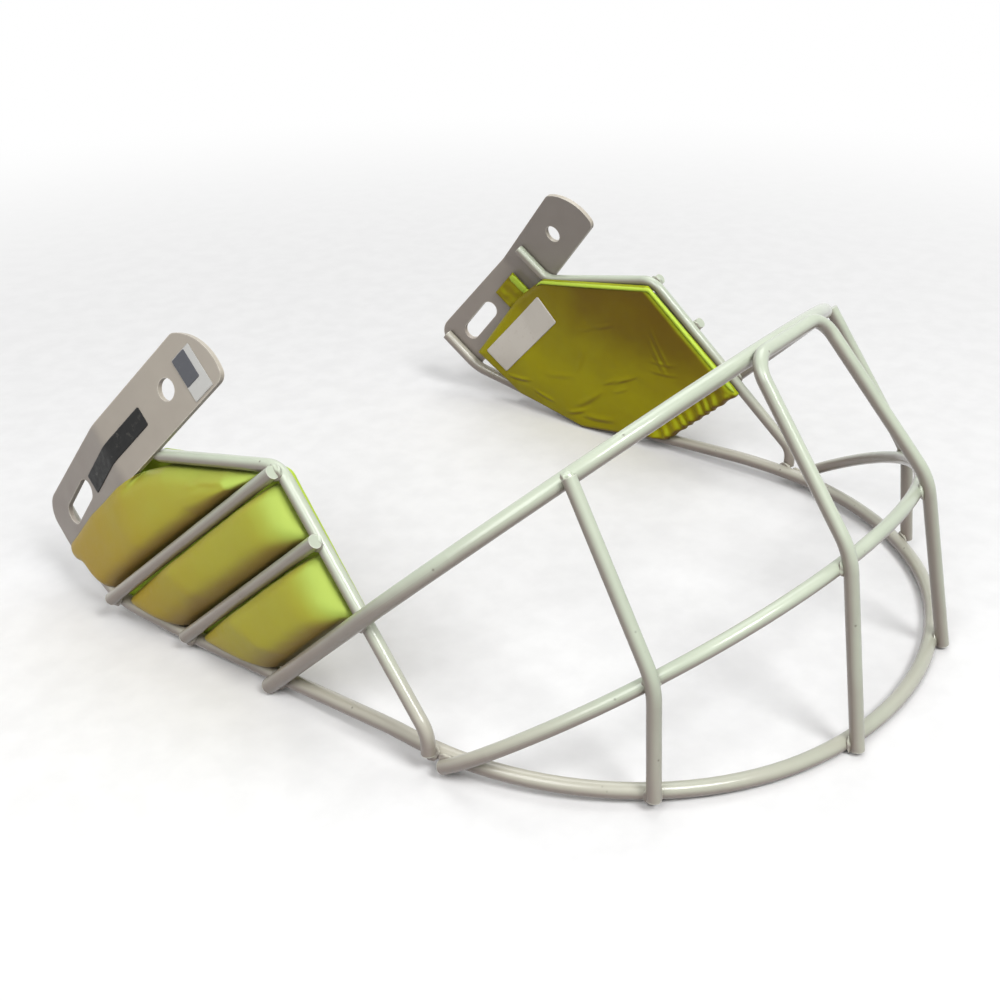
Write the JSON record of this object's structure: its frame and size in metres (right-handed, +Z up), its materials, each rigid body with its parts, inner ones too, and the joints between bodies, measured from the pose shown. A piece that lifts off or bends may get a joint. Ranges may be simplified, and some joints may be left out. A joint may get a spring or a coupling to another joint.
{
  "type": "cricket helmet face guard",
  "caption": "Welded wire face guard with bent side plates, a centre loop, side uprights and ribbed foam cheek pads, made to screw onto the sides of a helmet shell.",
  "frame": {"origin": "middle of the footprint on the floor, when the guard stands on its chin rod", "axes": "+X to the wearer's right, +Y to the front of the guard, +Z up"},
  "size_m": [0.2218, 0.2508, 0.1009],
  "materials": {
    "rod_steel": "pale grey-green satin powder coat with small pits",
    "plate_steel": "warm grey satin coat",
    "pad_cover": "satin yellow-green coated cover over foam",
    "pad_lining": "olive lining with lime cut edges"
  },
  "bodies": {
    "root": {"brow_bar": "rod_steel", "middle_bar": "rod_steel", "chin_rod": "rod_steel", "centre_loop": "rod_steel", "side_plate_right": "plate_steel", "cheek_front_rod_right": "rod_steel", "cheek_bar_upper_right": "rod_steel", "cheek_bar_lower_right": "rod_steel", "side_upright_right": "rod_steel", "cheek_pad_upper_right": "pad_cover", "cheek_pad_middle_right": "pad_cover", "cheek_pad_lower_right": "pad_cover", "pad_backing_right": "pad_lining", "pad_tab_right": "pad_lining", "side_plate_left": "plate_steel", "cheek_front_rod_left": "rod_steel", "cheek_bar_upper_left": "rod_steel", "cheek_bar_lower_left": "rod_steel", "side_upright_left": "rod_steel", "cheek_pad_upper_left": "pad_cover", "cheek_pad_middle_left": "pad_cover", "cheek_pad_lower_left": "pad_cover", "pad_backing_left": "pad_lining", "pad_tab_left": "pad_lining"}
  },
  "joints": []
}
